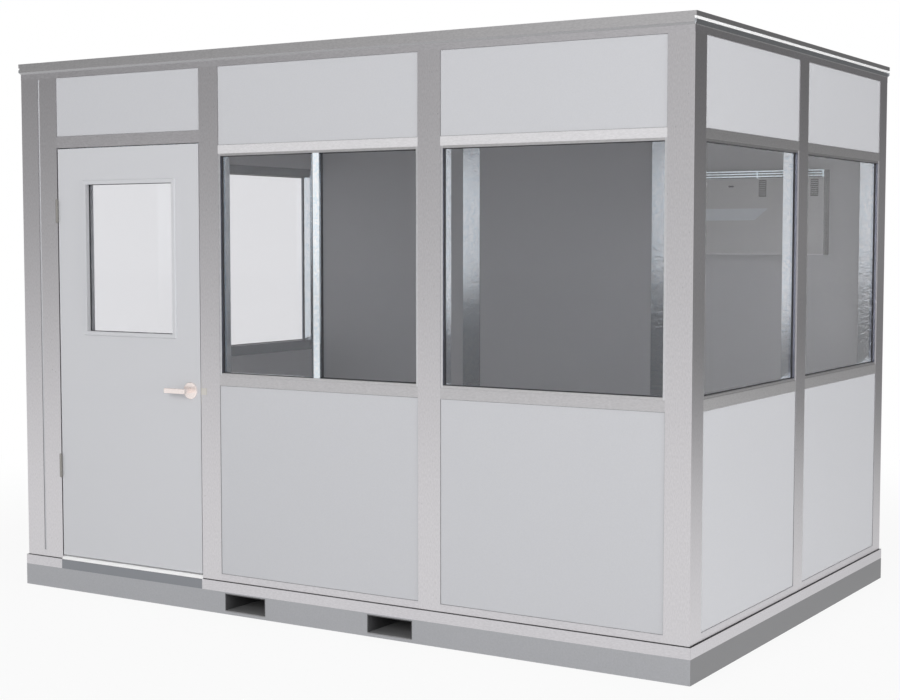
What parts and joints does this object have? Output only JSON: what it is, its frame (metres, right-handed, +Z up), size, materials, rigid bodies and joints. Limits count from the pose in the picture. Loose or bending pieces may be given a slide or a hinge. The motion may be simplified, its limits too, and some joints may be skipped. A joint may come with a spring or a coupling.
{
  "type": "modular office",
  "caption": "Portable one-room modular office: aluminium frame, laminated panels, window bays, out-swinging door, flat roof and a steel base with fork pockets.",
  "frame": {"origin": "on the ground under the centre of the walls' plan", "axes": "+Z up, -Y towards the front with the door, +X towards the right end seen from the front"},
  "size_m": [3.6736, 2.7354, 2.6374],
  "materials": {
    "aluminium": "clear anodised extrusion",
    "wall_panel": "light grey vinyl-faced panel",
    "door_paint": "satin light grey paint",
    "base_paint": "satin grey paint on steel",
    "sill_paint": "dark grey sill face",
    "floor_board": "floor board",
    "floor_sheet": "grey floor sheet",
    "gasket": "black foam strip",
    "glass": "clear glass",
    "roof_steel": "painted fluted steel",
    "hinge_steel": "satin steel",
    "lever_metal": "satin champagne metal",
    "ac_plastic": "off-white moulded cover",
    "ac_metal": "painted sheet case"
  },
  "bodies": {
    "office": {"ac_case": "ac_metal", "ac_cover": "ac_plastic", "ac_grille": "ac_metal", "back_panel_ac": "wall_panel", "back_panels": "wall_panel", "back_posts": "aluminium", "base_end_rails": "base_paint", "base_rail_back": "base_paint", "base_rail_front": "base_paint", "bottom_tracks": "aluminium", "ceiling_sheet": "wall_panel", "corner_posts": "aluminium", "cross_members": "base_paint", "door_frame": "aluminium", "door_header": "aluminium", "door_sill": "sill_paint", "door_stops": "aluminium", "edge_bands": "aluminium", "floor_deck": "floor_board", "floor_sheet": "floor_sheet", "fork_pockets": "base_paint", "front_panels": "wall_panel", "front_posts": "aluminium", "head_tracks": "aluminium", "hinge_frame_leaves": "hinge_steel", "hinge_post": "aluminium", "roof_deck": "roof_steel", "roof_fascia": "aluminium", "side_panels": "wall_panel", "side_posts": "aluminium", "slider_stile": "aluminium", "strike_plate": "hinge_steel", "threshold": "aluminium", "wall_gasket": "gasket", "window_crossbars": "aluminium", "window_glass": "glass", "window_rails": "aluminium", "window_uprights": "aluminium"},
    "door": {"door_leaf": "door_paint", "door_lite_rims": "door_paint", "door_glass": "glass", "hinge_door_leaves": "hinge_steel", "lock_roses": "lever_metal", "latch_plate": "hinge_steel"},
    "lever": {"lever_handles": "lever_metal"}
  },
  "joints": [
    {"name": "door_swing", "type": "hinge", "parent": "office", "child": "door", "pos_m": [-1.58465, -1.2262, 1.1844], "axis": [0, 0, -1], "range_deg": [0, 170]},
    {"name": "lever_turn", "type": "hinge", "parent": "door", "child": "lever", "pos_m": [-0.73205, -1.19497, 1.0454], "axis": [0, -1, 0], "range_deg": [0, 45], "stiffness_Nm_per_rad": 1.5, "springref_deg": -22.92}
  ]
}
